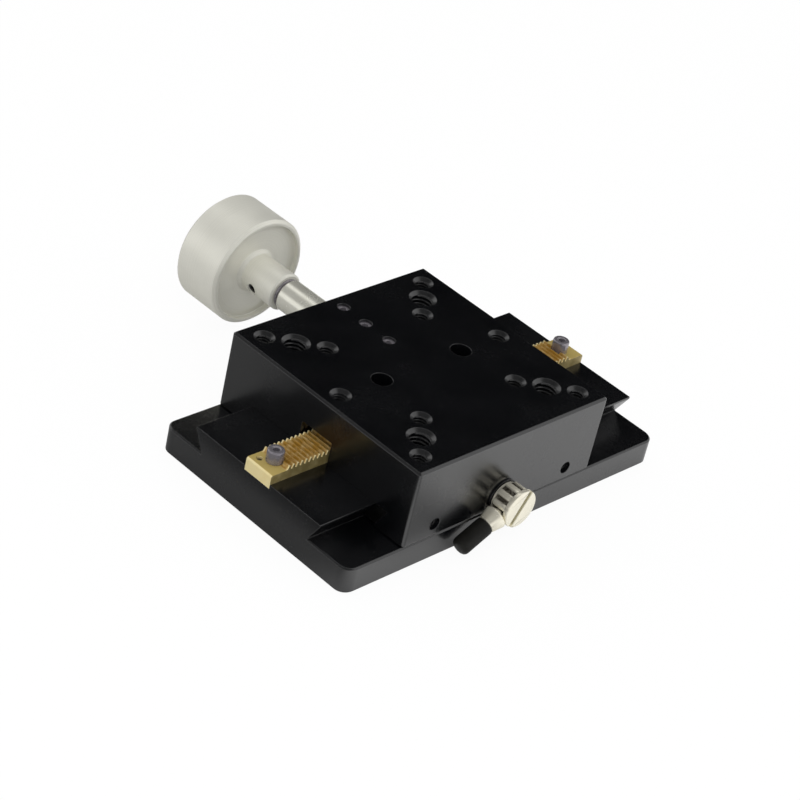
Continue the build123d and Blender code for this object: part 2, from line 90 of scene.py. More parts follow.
# Small helpers that join nodes, shared by the studio and the finishes
def feed(tree, socket, value):
    if isinstance(value, bpy.types.NodeSocket):
        tree.links.new(value, socket)
    else:
        socket.default_value = value


def addMath(tree, operation, first, second=0.0, third=0.0, clamp=False):
    node = tree.nodes.new("ShaderNodeMath")
    node.operation = operation
    node.use_clamp = clamp
    for socket, value in zip(node.inputs, (first, second, third)):
        feed(tree, socket, value)
    return node.outputs[0]


def addVector(tree, operation, first, second=(0.0, 0.0, 0.0), output="Vector"):
    node = tree.nodes.new("ShaderNodeVectorMath")
    node.operation = operation
    feed(tree, node.inputs[0], first)
    feed(tree, node.inputs[1], second)
    return node.outputs[output]


def addRange(tree, value, fromLow, fromHigh, toLow=0.0, toHigh=1.0, smooth=False):
    node = tree.nodes.new("ShaderNodeMapRange")
    node.interpolation_type = "SMOOTHSTEP" if smooth else "LINEAR"
    for name, amount in (("Value", value), ("From Min", fromLow), ("From Max", fromHigh),
                         ("To Min", toLow), ("To Max", toHigh)):
        feed(tree, node.inputs[name], amount)
    return node.outputs["Result"]


def addMix(tree, factor, first, second):
    node = tree.nodes.new("ShaderNodeMix")
    node.data_type = "RGBA"
    feed(tree, node.inputs[0], factor)
    feed(tree, node.inputs[6], first)
    feed(tree, node.inputs[7], second)
    return node.outputs[2]


def addNoise(tree, place, scale, detail=2.0, roughness=0.5, dimensions="3D"):
    node = tree.nodes.new("ShaderNodeTexNoise")
    node.noise_dimensions = dimensions
    feed(tree, node.inputs["W" if dimensions == "1D" else "Vector"], place)
    feed(tree, node.inputs["Scale"], scale)
    node.inputs["Detail"].default_value = detail
    node.inputs["Roughness"].default_value = roughness
    return node.outputs["Fac"]


# Studio: a white floor and an open white surround, with grey cards of painted shade on the floor and dark
# panels in the surround that only the gloss sees
studio = {
    "floorSize": 12.0,
    "floorColor": (0.92, 0.92, 0.92, 1),
    "floorRoughness": 0.9,
    "floorLift": 0.94,  # share of the floor that is plain white to the camera
    "glossLift": 0.25,  # the same share for reflections, which keep more of the shadow
    "reflectedShadeCards": (
        # grey cards of painted shade on the floor for the gloss only, one of them the lever grip's shadow:
        # level, then each edge's direction and the metres from the base's centre at which the card starts
        # and is full
        (0.32, (((-0.78, 0.62, 0.0), 0.012, 0.034),)),
        (0.3, (((-1.0, 0.0, 0.0), 0.0565, 0.062), ((0.0, -1.0, 0.0), -0.05, -0.028))),
        # painted shadow of the lever's grip on the floor, seen only in reflections
        (0.5, (((-1.0, 0.0, 0.0), 0.0, 0.014), ((1.0, 0.0, 0.0), -0.042, -0.026),
               ((0.0, -1.0, 0.0), 0.0335, 0.039))),
        (0.12, (((0.78, 0.62, 0.0), 0.1, 0.17),)),
    ),
    "surround": (1.0, 1.0, 1.0, 1),
    "surroundLevel": 0.95,
    "glossLevel": 0.78,
    "panels": (
        # for the gloss only: direction, cosine where it is full and where it has faded out,
        # and the share of the light that it takes away
        ((0.70, 0.54, 0.47), 0.93, 0.76, 1.0),
        ((-0.46, 0.521, 0.719), 0.97, 0.88, 0.8),
        ((-0.42, -0.33, 0.845), 0.9, 0.6, 0.8),
    ),
    "softboxes": (
        # place, size, power, what it looks at
        ((-0.38, -0.42, 0.62), 0.42, 1.5, (0.0, 0.0, 0.01)),
    ),
}


def makeWorld(values):
    world = bpy.data.worlds.new("studio")
    world.use_nodes = True
    tree = world.node_tree
    background = tree.nodes["Background"]
    place = tree.nodes.new("ShaderNodeTexCoord")
    level = values["glossLevel"]
    for direction, inner, outer, depth in values["panels"]:
        facing = addVector(tree, "DOT_PRODUCT", place.outputs["Generated"],
                           Vector(direction).normalized(), "Value")
        panel = addRange(tree, facing, outer, inner, 1.0, 1.0 - depth, smooth=True)
        level = addMath(tree, "MULTIPLY", level, panel)
    background.inputs["Color"].default_value = values["surround"]
    rays = tree.nodes.new("ShaderNodeLightPath")
    mirrored = addMath(tree, "MULTIPLY", addMath(tree, "SUBTRACT", level, values["surroundLevel"]),
                       rays.outputs["Is Glossy Ray"])
    level = addMath(tree, "ADD", mirrored, values["surroundLevel"])
    seen = rays.outputs["Is Camera Ray"]
    hidden = addMath(tree, "SUBTRACT", 1.0, seen)
    tree.links.new(addMath(tree, "MULTIPLY_ADD", level, hidden, seen), background.inputs["Strength"])
    bpy.context.scene.world = world


def makeFloor(values):
    mesh = bpy.data.meshes.new("floor")
    shape = bmesh.new()
    bmesh.ops.create_grid(shape, x_segments=1, y_segments=1, size=values["floorSize"] / 2)
    shape.to_mesh(mesh)
    shape.free()
    floor = bpy.data.objects.new("floor", mesh)
    bpy.context.scene.collection.objects.link(floor)
    material = bpy.data.materials.new("floorWhite")
    material.use_nodes = True
    tree = material.node_tree
    matte = tree.nodes["Principled BSDF"]
    matte.inputs["Roughness"].default_value = values["floorRoughness"]
    matte.inputs["Specular IOR Level"].default_value = 0.0
    plain = tree.nodes.new("ShaderNodeEmission")
    rays = tree.nodes.new("ShaderNodeLightPath")
    glossy = addMath(tree, "ADD", rays.outputs["Is Glossy Ray"], rays.outputs["Is Transmission Ray"],
                     clamp=True)
    lift = addMath(tree, "MULTIPLY", rays.outputs["Is Camera Ray"], values["floorLift"])
    lift = addMath(tree, "MULTIPLY_ADD", glossy, values["glossLift"], lift, clamp=True)
    mix = tree.nodes.new("ShaderNodeMixShader")
    place = tree.nodes.new("ShaderNodeTexCoord")
    # painted shade: the cards darken the floor for reflections only
    shadeCardLevel = 1.0
    for level, edges in values["reflectedShadeCards"]:
        cover = 1.0
        for direction, near, far in edges:
            aside = addVector(tree, "DOT_PRODUCT", place.outputs["Object"], direction, "Value")
            cover = addMath(tree, "MULTIPLY", cover, addRange(tree, aside, near, far, smooth=True))
        shadeCardLevel = addMath(tree, "MULTIPLY", shadeCardLevel, addMath(tree, "MULTIPLY_ADD", cover, level - 1.0, 1.0))
    bright = addMath(tree, "MULTIPLY_ADD", addMath(tree, "SUBTRACT", shadeCardLevel, 1.0), glossy, 1.0)
    tree.links.new(bright, plain.inputs["Strength"])
    tree.links.new(addMix(tree, bright, (0.0, 0.0, 0.0, 1), values["floorColor"]),
                   matte.inputs["Base Color"])
    tree.links.new(lift, mix.inputs["Fac"])
    tree.links.new(matte.outputs["BSDF"], mix.inputs[1])
    tree.links.new(plain.outputs["Emission"], mix.inputs[2])
    tree.links.new(mix.outputs["Shader"], tree.nodes["Material Output"].inputs["Surface"])
    mesh.materials.append(material)


def addSoftboxes(values):
    for number, (place, size, power, target) in enumerate(values["softboxes"]):
        data = bpy.data.lights.new("softbox%d" % number, "AREA")
        data.shape = "DISK"
        data.size = size
        data.energy = power
        lamp = bpy.data.objects.new(data.name, data)
        aim = Vector(target) - Vector(place)
        lamp.visible_glossy = False  # a broad glow with no hot spot
        lamp.matrix_world = Matrix.Translation(place) @ aim.to_track_quat("-Z", "Y").to_matrix().to_4x4()
        bpy.context.scene.collection.objects.link(lamp)


makeWorld(studio)
makeFloor(studio)
addSoftboxes(studio)
bpy.context.scene.view_settings.view_transform = "Standard"
print("studio ready")


# Effects that several finishes share, each a node group. Pairs are where a mask starts and where it is full
effectLimits = {
    "bevelSamples": 6,
    "wear": (0.995, 0.9),  # cosine between the rounded normal and the true one
    "chips": (0.38, 0.66, 0.15, 1.0),
    "tone": (0.32, 0.68),
    "fineShare": 0.3,
    "cloudShare": 0.7,
    "rings": (0.3, 0.7),
    "endOn": (0.6, 0.8),  # how far a face looks along the axis before its rings are drawn by radius
    "marks": (0.3, 0.7),
    "haze": (0.42, 0.62),
    "speckRadius": (0.16, 0.05),
    "speckRarity": (0.86, 0.9),
    "scuffStretch": (90.0, 700.0, 260.0),
    "scuffWidth": (0.006, 0.0),
    "scuffPatches": (0.58, 0.66),
    "scuffPatchScale": 70.0,
}


def newGroup(name, inputs, outputs):
    group = bpy.data.node_groups.new(name, "ShaderNodeTree")
    for label, kind, value in inputs:
        socket = group.interface.new_socket(name=label, in_out="INPUT", socket_type=kind)
        socket.default_value = value
    for label, kind in outputs:
        group.interface.new_socket(name=label, in_out="OUTPUT", socket_type=kind)
    return group, group.nodes.new("NodeGroupInput").outputs, group.nodes.new("NodeGroupOutput").inputs


def makeEdgeWear():  # finds where faces meet by comparing a rounded normal with the true one
    group, start, end = newGroup("edgeWear", [
        ("Width", "NodeSocketFloat", 0.0002),
        ("Breakup", "NodeSocketFloat", 2500.0),
    ], [("Mask", "NodeSocketFloat"), ("Normal", "NodeSocketVector")])
    bevel = group.nodes.new("ShaderNodeBevel")
    bevel.samples = effectLimits["bevelSamples"]
    group.links.new(start["Width"], bevel.inputs["Radius"])
    surface = group.nodes.new("ShaderNodeNewGeometry")
    level = addVector(group, "DOT_PRODUCT", bevel.outputs["Normal"], surface.outputs["Normal"], "Value")
    sharp = addRange(group, level, *effectLimits["wear"])
    place = group.nodes.new("ShaderNodeTexCoord")
    chips = addNoise(group, place.outputs["Object"], start["Breakup"], 3.0, 0.6)
    chips = addRange(group, chips, *effectLimits["chips"])
    group.links.new(addMath(group, "MULTIPLY", sharp, chips, clamp=True), end["Mask"])
    group.links.new(bevel.outputs["Normal"], end["Normal"])
    return group


def makeFineGrain():  # bead blasted or moulded grain, with softer cloudy patches of tone
    group, start, end = newGroup("fineGrain", [
        ("Scale", "NodeSocketFloat", 9000.0),
        ("Cloud Scale", "NodeSocketFloat", 60.0),
    ], [("Height", "NodeSocketFloat"), ("Tone", "NodeSocketFloat")])
    place = group.nodes.new("ShaderNodeTexCoord")
    fine = addNoise(group, place.outputs["Object"], start["Scale"], 2.0, 0.7)
    cloud = addNoise(group, place.outputs["Object"], start["Cloud Scale"], 4.0, 0.6)
    group.links.new(fine, end["Height"])
    tone = addMath(group, "MULTIPLY_ADD", fine, effectLimits["fineShare"],
                   addMath(group, "MULTIPLY", cloud, effectLimits["cloudShare"]))
    group.links.new(addRange(group, tone, *effectLimits["tone"]), end["Tone"])
    return group


def makeTurningMarks():  # rings that a lathe leaves round an axis along Y, on faces and on cylinders
    group, start, end = newGroup("turningMarks", [
        ("Center", "NodeSocketVector", (0.0, 0.0, 0.0)),
        ("Rings", "NodeSocketFloat", 6000.0),
    ], [("Height", "NodeSocketFloat"), ("Tone", "NodeSocketFloat")])
    place = group.nodes.new("ShaderNodeTexCoord")
    local = addVector(group, "SUBTRACT", place.outputs["Object"], start["Center"])
    split = group.nodes.new("ShaderNodeSeparateXYZ")
    group.links.new(local, split.inputs[0])
    flat = group.nodes.new("ShaderNodeCombineXYZ")
    group.links.new(split.outputs["X"], flat.inputs["X"])
    group.links.new(split.outputs["Z"], flat.inputs["Z"])
    radius = addVector(group, "LENGTH", flat.outputs[0], output="Value")
    along = split.outputs["Y"]
    surface = group.nodes.new("ShaderNodeNewGeometry")
    turned = addVector(group, "DOT_PRODUCT", surface.outputs["Normal"], (0.0, 1.0, 0.0), "Value")
    endOn = addRange(group, addMath(group, "ABSOLUTE", turned), *effectLimits["endOn"])
    line = addMath(group, "ADD", addMath(group, "MULTIPLY", radius, endOn),
                   addMath(group, "MULTIPLY", along, addMath(group, "SUBTRACT", 1.0, endOn)))
    rings = addNoise(group, line, start["Rings"], 3.0, 0.7, "1D")
    group.links.new(rings, end["Height"])
    group.links.new(addRange(group, rings, *effectLimits["rings"]), end["Tone"])
    return group


def makeCutMarks():  # straight marks of a cutter or grinder, long along one direction
    group, start, end = newGroup("cutMarks", [
        ("Stretch", "NodeSocketVector", (400.0, 8000.0, 8000.0)),
    ], [("Height", "NodeSocketFloat"), ("Tone", "NodeSocketFloat")])
    place = group.nodes.new("ShaderNodeTexCoord")
    drawn = addVector(group, "MULTIPLY", place.outputs["Object"], start["Stretch"])
    marks = addNoise(group, drawn, 1.0, 3.0, 0.65)
    group.links.new(marks, end["Height"])
    group.links.new(addRange(group, marks, *effectLimits["marks"]), end["Tone"])
    return group


def makeHandling():  # fingerprints' haze, specks of dust and a few hairline scuffs
    group, start, end = newGroup("handling", [
        ("Haze Scale", "NodeSocketFloat", 35.0),
        ("Speck Scale", "NodeSocketFloat", 900.0),
    ], [("Haze", "NodeSocketFloat"), ("Dust", "NodeSocketFloat"), ("Scuff", "NodeSocketFloat")])
    place = group.nodes.new("ShaderNodeTexCoord")
    where = place.outputs["Object"]
    haze = addNoise(group, where, start["Haze Scale"], 5.0, 0.62)
    group.links.new(addRange(group, haze, *effectLimits["haze"], smooth=True), end["Haze"])
    specks = group.nodes.new("ShaderNodeTexVoronoi")
    group.links.new(where, specks.inputs["Vector"])
    group.links.new(start["Speck Scale"], specks.inputs["Scale"])
    dot = addRange(group, specks.outputs["Distance"], *effectLimits["speckRadius"])
    rare = group.nodes.new("ShaderNodeSeparateColor")
    group.links.new(specks.outputs["Color"], rare.inputs[0])
    few = addRange(group, rare.outputs[0], *effectLimits["speckRarity"])
    group.links.new(addMath(group, "MULTIPLY", dot, few, clamp=True), end["Dust"])
    drawn = addVector(group, "MULTIPLY", where, effectLimits["scuffStretch"])
    lines = addNoise(group, drawn, 1.0, 1.0, 0.4)
    middle = addMath(group, "ABSOLUTE", addMath(group, "SUBTRACT", lines, 0.5))
    thin = addRange(group, middle, *effectLimits["scuffWidth"])
    patches = addNoise(group, where, effectLimits["scuffPatchScale"], 2.0)
    patches = addRange(group, patches, *effectLimits["scuffPatches"])
    group.links.new(addMath(group, "MULTIPLY", thin, patches, clamp=True), end["Scuff"])
    return group


effects = {
    "edgeWear": makeEdgeWear(),
    "fineGrain": makeFineGrain(),
    "turningMarks": makeTurningMarks(),
    "cutMarks": makeCutMarks(),
    "handling": makeHandling(),
}
print("shared effects ready:", len(effects))


def useEffect(tree, name, **values):
    node = tree.nodes.new("ShaderNodeGroup")
    node.node_tree = effects[name]
    for label, value in values.items():
        feed(tree, node.inputs[label.replace("_", " ")], value)
    return node.outputs


def newFinish(name):
    material = bpy.data.materials.new(name)
    material.use_nodes = True
    tree = material.node_tree
    return material, tree, tree.nodes["Principled BSDF"]


def addBump(tree, shader, height, strength, distance, normal=None):
    bump = tree.nodes.new("ShaderNodeBump")
    bump.inputs["Strength"].default_value = strength
    bump.inputs["Distance"].default_value = distance
    tree.links.new(height, bump.inputs["Height"])
    if normal is not None:
        tree.links.new(normal, bump.inputs["Normal"])
    tree.links.new(bump.outputs["Normal"], shader.inputs["Normal"])


def paint(material, *objects):
    for piece in objects:
        piece.data.materials.clear()
        piece.data.materials.append(material)


# Black anodising on the base and the carriage
anodising = {
    "deep": (0.0006, 0.0008, 0.0013, 1),
    "pale": (0.0016, 0.0018, 0.0026, 1),
    "worn": (0.06, 0.06, 0.06, 1),
    "dust": (0.075, 0.073, 0.07, 1),
    "ior": 1.85,
    "smooth": 0.21,
    "dull": 0.25,
    "grainRough": 0.05,  # added to the roughness where the grain is pale
    "edgeWidth": 0.00025,
    "edgeChips": 1800.0,
    "edgeShare": 0.55,
    "grain": 11000.0,
    "cloud": 70.0,
    "grainDepth": 0.000004,
    "bump": 0.35,
    "haze": 42.0,
    "specks": 1100.0,
    "scuffShare": 0.2,
    "spotShare": 0.5,
}


def makeAnodising(values):
    material, tree, shader = newFinish("blackAnodising")
    grain = useEffect(tree, "fineGrain", Scale=values["grain"], Cloud_Scale=values["cloud"])
    wear = useEffect(tree, "edgeWear", Width=values["edgeWidth"], Breakup=values["edgeChips"])
    touch = useEffect(tree, "handling", Haze_Scale=values["haze"], Speck_Scale=values["specks"])
    color = addMix(tree, grain["Tone"], values["deep"], values["pale"])
    color = addMix(tree, addMath(tree, "MULTIPLY", wear["Mask"], values["edgeShare"]), color, values["worn"])
    scuffs = addMath(tree, "MULTIPLY", touch["Scuff"], values["scuffShare"])
    spots = addMath(tree, "ADD", touch["Dust"], scuffs, clamp=True)
    color = addMix(tree, addMath(tree, "MULTIPLY", spots, values["spotShare"]), color, values["dust"])
    tree.links.new(color, shader.inputs["Base Color"])
    rough = addRange(tree, touch["Haze"], 0, 1, values["smooth"], values["dull"])
    rough = addMath(tree, "ADD", rough, addMath(tree, "MULTIPLY", grain["Tone"], values["grainRough"]))
    tree.links.new(rough, shader.inputs["Roughness"])
    shader.inputs["IOR"].default_value = values["ior"]
    addBump(tree, shader, grain["Height"], values["bump"], values["grainDepth"], wear["Normal"])
    return material


anodisedFinish = makeAnodising(anodising)
paint(anodisedFinish, nodes["base_plate"], nodes["carriage_block"])

# Bare metals: one recipe of tarnish, cutter marks and bright edges, with shared values and each metal's own
metalWork = {
    "grain": 9000.0,
    "edgeWidth": 0.0002,
    "edgeChips": 2600.0,
    "edgeShare": 0.8,
    "haze": 120.0,
    "specks": 1500.0,
    "markShare": 0.25,
    "markRough": 0.06,
    "dustRough": 0.3,
    "bump": 0.4,
}
metals = {
    "milledBrass": {
        "color": (0.98, 0.87, 0.5, 1), "shade": (0.9, 0.71, 0.32, 1), "bright": (0.99, 0.93, 0.65, 1),
        "smooth": 0.34, "dull": 0.46, "stretch": (900.0, 14000.0, 9000.0), "markDepth": 0.000003,
        "cloud": 260.0, "metallic": 0.45, "nodes": ("rack",),
    },
    "cutGearBrass": {
        "color": (0.78, 0.57, 0.22, 1), "shade": (0.5, 0.32, 0.1, 1), "bright": (0.93, 0.78, 0.42, 1),
        "smooth": 0.2, "dull": 0.36, "stretch": (9000.0, 900.0, 9000.0), "markDepth": 0.000003,
        "cloud": 300.0, "nodes": ("pinion", "lock_pad", "thrust_washer"),
    },
    "groundGibSteel": {
        "color": (0.07, 0.07, 0.07, 1), "shade": (0.03, 0.03, 0.032, 1), "bright": (0.3, 0.29, 0.28, 1),
        "smooth": 0.28, "dull": 0.44, "stretch": (300.0, 12000.0, 12000.0), "markDepth": 0.000003,
        "cloud": 200.0, "nodes": ("gib",),
    },
    "bareSteel": {
        "color": (0.36, 0.34, 0.37, 1), "shade": (0.24, 0.22, 0.25, 1), "bright": (0.7, 0.67, 0.68, 1),
        "smooth": 0.17, "dull": 0.24, "stretch": (6000.0, 6000.0, 6000.0), "markDepth": 0.0000008,
        "cloud": 500.0, "metallic": 0.7,
        "nodes": ("rack_screws", "bush_screws", "pinion_shaft", "pinion_pin", "wave_washer"),
    },
    # dark steel for the recessed pins in the rack's end pads
    "darkPinSteel": {
        "color": (0.14, 0.12, 0.09, 1), "shade": (0.07, 0.055, 0.04, 1), "bright": (0.4, 0.36, 0.28, 1),
        "smooth": 0.25, "dull": 0.4, "stretch": (6000.0, 6000.0, 6000.0), "markDepth": 0.000002,
        "cloud": 500.0, "nodes": ("rack_pins",),
    },
    "blackenedSteel": {
        "color": (0.045, 0.045, 0.05, 1), "shade": (0.02, 0.02, 0.022, 1), "bright": (0.3, 0.29, 0.28, 1),
        "smooth": 0.3, "dull": 0.45, "stretch": (7000.0, 7000.0, 7000.0), "markDepth": 0.000002,
        "cloud": 500.0, "nodes": ("gib_screws", "knob_screw", "shaft_clip", "lock_washer"),
    },
    "warmNickel": {
        "color": (0.95, 0.91, 0.77, 1), "shade": (0.87, 0.82, 0.67, 1), "bright": (0.96, 0.94, 0.84, 1),
        "smooth": 0.13, "dull": 0.19, "stretch": (2500.0, 2500.0, 2500.0), "markDepth": 0.0000007,
        "cloud": 350.0, "metallic": 0.68, "nodes": ("lock_screw", "lever_arm"),
    },
    "satinNickel": {
        "color": (0.95, 0.94, 0.84, 1), "shade": (0.87, 0.85, 0.74, 1), "bright": (0.92, 0.9, 0.82, 1),
        "smooth": 0.16, "dull": 0.24, "stretch": (3000.0, 9000.0, 3000.0), "markDepth": 0.000002,
        "cloud": 300.0, "metallic": 0.7, "nodes": ("pinion_bush",),
    },
}


def makeMetal(name, values, work):
    material, tree, shader = newFinish(name)
    marks = useEffect(tree, "cutMarks", Stretch=values["stretch"])
    cloud = useEffect(tree, "fineGrain", Scale=work["grain"], Cloud_Scale=values["cloud"])
    wear = useEffect(tree, "edgeWear", Width=work["edgeWidth"], Breakup=work["edgeChips"])
    touch = useEffect(tree, "handling", Haze_Scale=work["haze"], Speck_Scale=work["specks"])
    color = addMix(tree, cloud["Tone"], values["color"], values["shade"])
    color = addMix(tree, addMath(tree, "MULTIPLY", marks["Tone"], work["markShare"]), color, values["color"])
    color = addMix(tree, addMath(tree, "MULTIPLY", wear["Mask"], work["edgeShare"]), color, values["bright"])
    tree.links.new(color, shader.inputs["Base Color"])
    shader.inputs["Metallic"].default_value = values.get("metallic", 1.0)
    rough = addRange(tree, touch["Haze"], 0, 1, values["smooth"], values["dull"])
    rough = addMath(tree, "ADD", rough, addMath(tree, "MULTIPLY", marks["Tone"], work["markRough"]))
    dusty = addMath(tree, "MULTIPLY", touch["Dust"], work["dustRough"])
    rough = addMath(tree, "ADD", rough, dusty, clamp=True)
    tree.links.new(rough, shader.inputs["Roughness"])
    addBump(tree, shader, marks["Height"], work["bump"], values["markDepth"], wear["Normal"])
    return material


metalFinishes = {name: makeMetal(name, values, metalWork) for name, values in metals.items()}


# Rack: bright ends and rims, painted shade on the pad tops and in patches on the long sides, and a film of
# old grease over the teeth between the rims
greasedTeeth = {
    "film": (0.43, 0.235, 0.036, 1),
    "sideShade": (0.22, 0.165, 0.05, 1),
    "padTopShade": (0.6, 0.46, 0.15, 1),  # painted shade on the flat tops of the end pads
    "padTop": 0.0143,
    "padTopFade": (-0.00003, -0.00001),  # fades are added to the place that they blur
    "side": 0.00397,  # the long sides, left as drawn and painted darker in patches as shade, lie beyond this half width
    "sideFade": (0.0, 0.00002),
    "sidePatches": (0.3, 0.6, 0.6, 0.9),
    "sideScale": 350.0,
    "padEnd": 0.0458,  # the teeth stop here along X
    "padFade": (-0.0002, 0.0001),
    "rim": 0.0036,  # half width that the pinion wipes
    "rimFade": (0.0002, -0.0001),
    "floor": 0.0139,  # the film starts at this height
    "floorFade": (0.0, 0.0002),
    "filmPatches": (0.3, 0.6, 0.65, 1.0),
    "filmScale": 900.0,
}


def addFade(tree, value, place, fade):  # a mask that starts and is full at two steps from a place
    return addRange(tree, value, place + fade[0], place + fade[1])


def greaseRack(material, values):
    tree = material.node_tree
    shader = tree.nodes["Principled BSDF"]
    place = tree.nodes.new("ShaderNodeTexCoord").outputs["Object"]
    split = tree.nodes.new("ShaderNodeSeparateXYZ")
    tree.links.new(place, split.inputs[0])
    along = addMath(tree, "ABSOLUTE", split.outputs["X"])
    across = addMath(tree, "ABSOLUTE", split.outputs["Y"])
    film = addFade(tree, along, values["padEnd"], values["padFade"][::-1])
    film = addMath(tree, "MULTIPLY", film, addFade(tree, across, values["rim"], values["rimFade"]))
    height = addFade(tree, split.outputs["Z"], values["floor"], values["floorFade"])
    film = addMath(tree, "MULTIPLY", film, height)
    uneven = addRange(tree, addNoise(tree, place, values["filmScale"], 3.0), *values["filmPatches"])
    film = addMath(tree, "MULTIPLY", film, uneven, clamp=True)
    # painted shade: the long sides darker in patches
    side = addFade(tree, across, values["side"], values["sideFade"])
    patches = addRange(tree, addNoise(tree, place, values["sideScale"], 3.0), *values["sidePatches"])
    side = addMath(tree, "MULTIPLY", side, patches)
    metal = shader.inputs["Base Color"].links[0].from_socket
    metal = addMix(tree, side, metal, values["sideShade"])
    # painted shade: the flat tops of the end pads darker than their ends
    pad = addFade(tree, along, values["padEnd"], values["padFade"])
    top = addFade(tree, split.outputs["Z"], values["padTop"], values["padTopFade"])
    metal = addMix(tree, addMath(tree, "MULTIPLY", pad, top), metal, values["padTopShade"])
    tree.links.new(addMix(tree, film, metal, values["film"]), shader.inputs["Base Color"])


greaseRack(metalFinishes["milledBrass"], greasedTeeth)


# Lock screw: dark colour in the flutes of the barrel, partly grime and partly painted shade, and a painted
# shade tint in the cap's slot
grimeAndShade = {
    "color": (0.035, 0.028, 0.018, 1),
    "axis": (-0.004, 0.0, 0.009715),
    "floor": 0.0039,  # full at this distance from the axis
    "land": 0.0043,  # clean from this distance on
    "core": 0.0032,  # none nearer the axis than this
    "coreFade": (0.0, 0.0002),
    "from": -0.0352,
    "fromFade": (0.0, 0.0004),
    "to": -0.0309,
    "toFade": (0.0, -0.0003),
    "patches": (0.3, 0.6, 0.75, 1.0),
    "patchScale": 1400.0,
    "rough": 0.35,
    # painted shade in the cap's slot
    "slotShade": (0.6, 0.57, 0.42, 1),
    "slotShadeShare": 0.8,
    "slotFrom": -0.03585,  # the cap's slot, from just under its face down to its floor
    "slotFromFade": (0.0, 0.0001),
    "slotTo": -0.0345,
    "slotToFade": (0.0, -0.0003),
    "slotRadius": 0.0043,
    "slotRadiusFade": (0.0, -0.0002),
}


def grimeAndShadeFlutes(material, values):
    tree = material.node_tree
    shader = tree.nodes["Principled BSDF"]
    place = tree.nodes.new("ShaderNodeTexCoord").outputs["Object"]
    split = tree.nodes.new("ShaderNodeSeparateXYZ")
    tree.links.new(place, split.inputs[0])
    local = addVector(tree, "SUBTRACT", place, values["axis"])
    local = addVector(tree, "MULTIPLY", local, (1.0, 0.0, 1.0))
    radius = addVector(tree, "LENGTH", local, output="Value")
    # partly grime, partly painted shade: darker towards the floors of the flutes
    mask = addRange(tree, radius, values["floor"], values["land"], 1.0, 0.0, smooth=True)
    for where, key in ((radius, "core"), (split.outputs["Y"], "to"), (split.outputs["Y"], "from")):
        mask = addMath(tree, "MULTIPLY", mask, addFade(tree, where, values[key], values[key + "Fade"]))
    uneven = addRange(tree, addNoise(tree, place, values["patchScale"], 3.0), *values["patches"])
    mask = addMath(tree, "MULTIPLY", mask, uneven, clamp=True)
    # painted shade: an olive tint on the walls and floor of the cap's slot
    slot = addFade(tree, radius, values["slotRadius"], values["slotRadiusFade"])
    deep = addFade(tree, split.outputs["Y"], values["slotTo"], values["slotToFade"])
    slot = addMath(tree, "MULTIPLY", slot, deep)
    under = addFade(tree, split.outputs["Y"], values["slotFrom"], values["slotFromFade"])
    slot = addMath(tree, "MULTIPLY", slot, under, clamp=True)
    metal = shader.inputs["Base Color"].links[0].from_socket
    metal = addMix(tree, addMath(tree, "MULTIPLY", slot, values["slotShadeShare"]), metal, values["slotShade"])
    tree.links.new(addMix(tree, mask, metal, values["color"]), shader.inputs["Base Color"])
    rough = shader.inputs["Roughness"].links[0].from_socket
    rough = addMath(tree, "MULTIPLY_ADD", mask, values["rough"], rough, clamp=True)
    tree.links.new(rough, shader.inputs["Roughness"])


grimeAndShadeFlutes(metalFinishes["warmNickel"], grimeAndShade)
for name, values in metals.items():
    paint(metalFinishes[name], *(nodes[node] for node in values["nodes"]))

# Knob: satin turned aluminium under clear anodising
satin = {
    "color": (0.89, 0.88, 0.8, 1),
    "shade": (0.74, 0.73, 0.65, 1),
    "worn": (0.95, 0.94, 0.89, 1),
    "smooth": 0.4,
    "dull": 0.52,
    "center": (-0.004, 0.0, 0.0192),
    "rings": 5200.0,
    "ringDepth": 0.000012,
    "ringShare": 0.55,  # the rings' and the grain's shares of the tone, then of the height
    "grainShare": 0.45,
    "ringHeight": 0.8,
    "grainHeight": 0.2,
    "ringRough": 0.06,
    "grain": 8000.0,
    "cloud": 110.0,
    "edgeWidth": 0.0004,
    "edgeChips": 1500.0,
    "edgeShare": 0.6,
    "haze": 50.0,
    "specks": 900.0,
    "metallic": 0.5,
    "bump": 0.5,
}


def makeSatin(values):
    material, tree, shader = newFinish("satinAluminium")
    turned = useEffect(tree, "turningMarks", Center=values["center"], Rings=values["rings"])
    grain = useEffect(tree, "fineGrain", Scale=values["grain"], Cloud_Scale=values["cloud"])
    wear = useEffect(tree, "edgeWear", Width=values["edgeWidth"], Breakup=values["edgeChips"])
    touch = useEffect(tree, "handling", Haze_Scale=values["haze"], Speck_Scale=values["specks"])
    tone = addMath(tree, "MULTIPLY_ADD", turned["Tone"], values["ringShare"],
                   addMath(tree, "MULTIPLY", grain["Tone"], values["grainShare"]))
    color = addMix(tree, tone, values["shade"], values["color"])
    color = addMix(tree, addMath(tree, "MULTIPLY", wear["Mask"], values["edgeShare"]), color, values["worn"])
    tree.links.new(color, shader.inputs["Base Color"])
    shader.inputs["Metallic"].default_value = values["metallic"]
    rough = addRange(tree, touch["Haze"], 0, 1, values["smooth"], values["dull"])
    rough = addMath(tree, "ADD", rough, addMath(tree, "MULTIPLY", turned["Tone"], values["ringRough"]))
    tree.links.new(rough, shader.inputs["Roughness"])
    height = addMath(tree, "MULTIPLY_ADD", turned["Height"], values["ringHeight"],
                     addMath(tree, "MULTIPLY", grain["Height"], values["grainHeight"]))
    addBump(tree, shader, height, values["bump"], values["ringDepth"], wear["Normal"])
    return material


paint(makeSatin(satin), nodes["knob"])

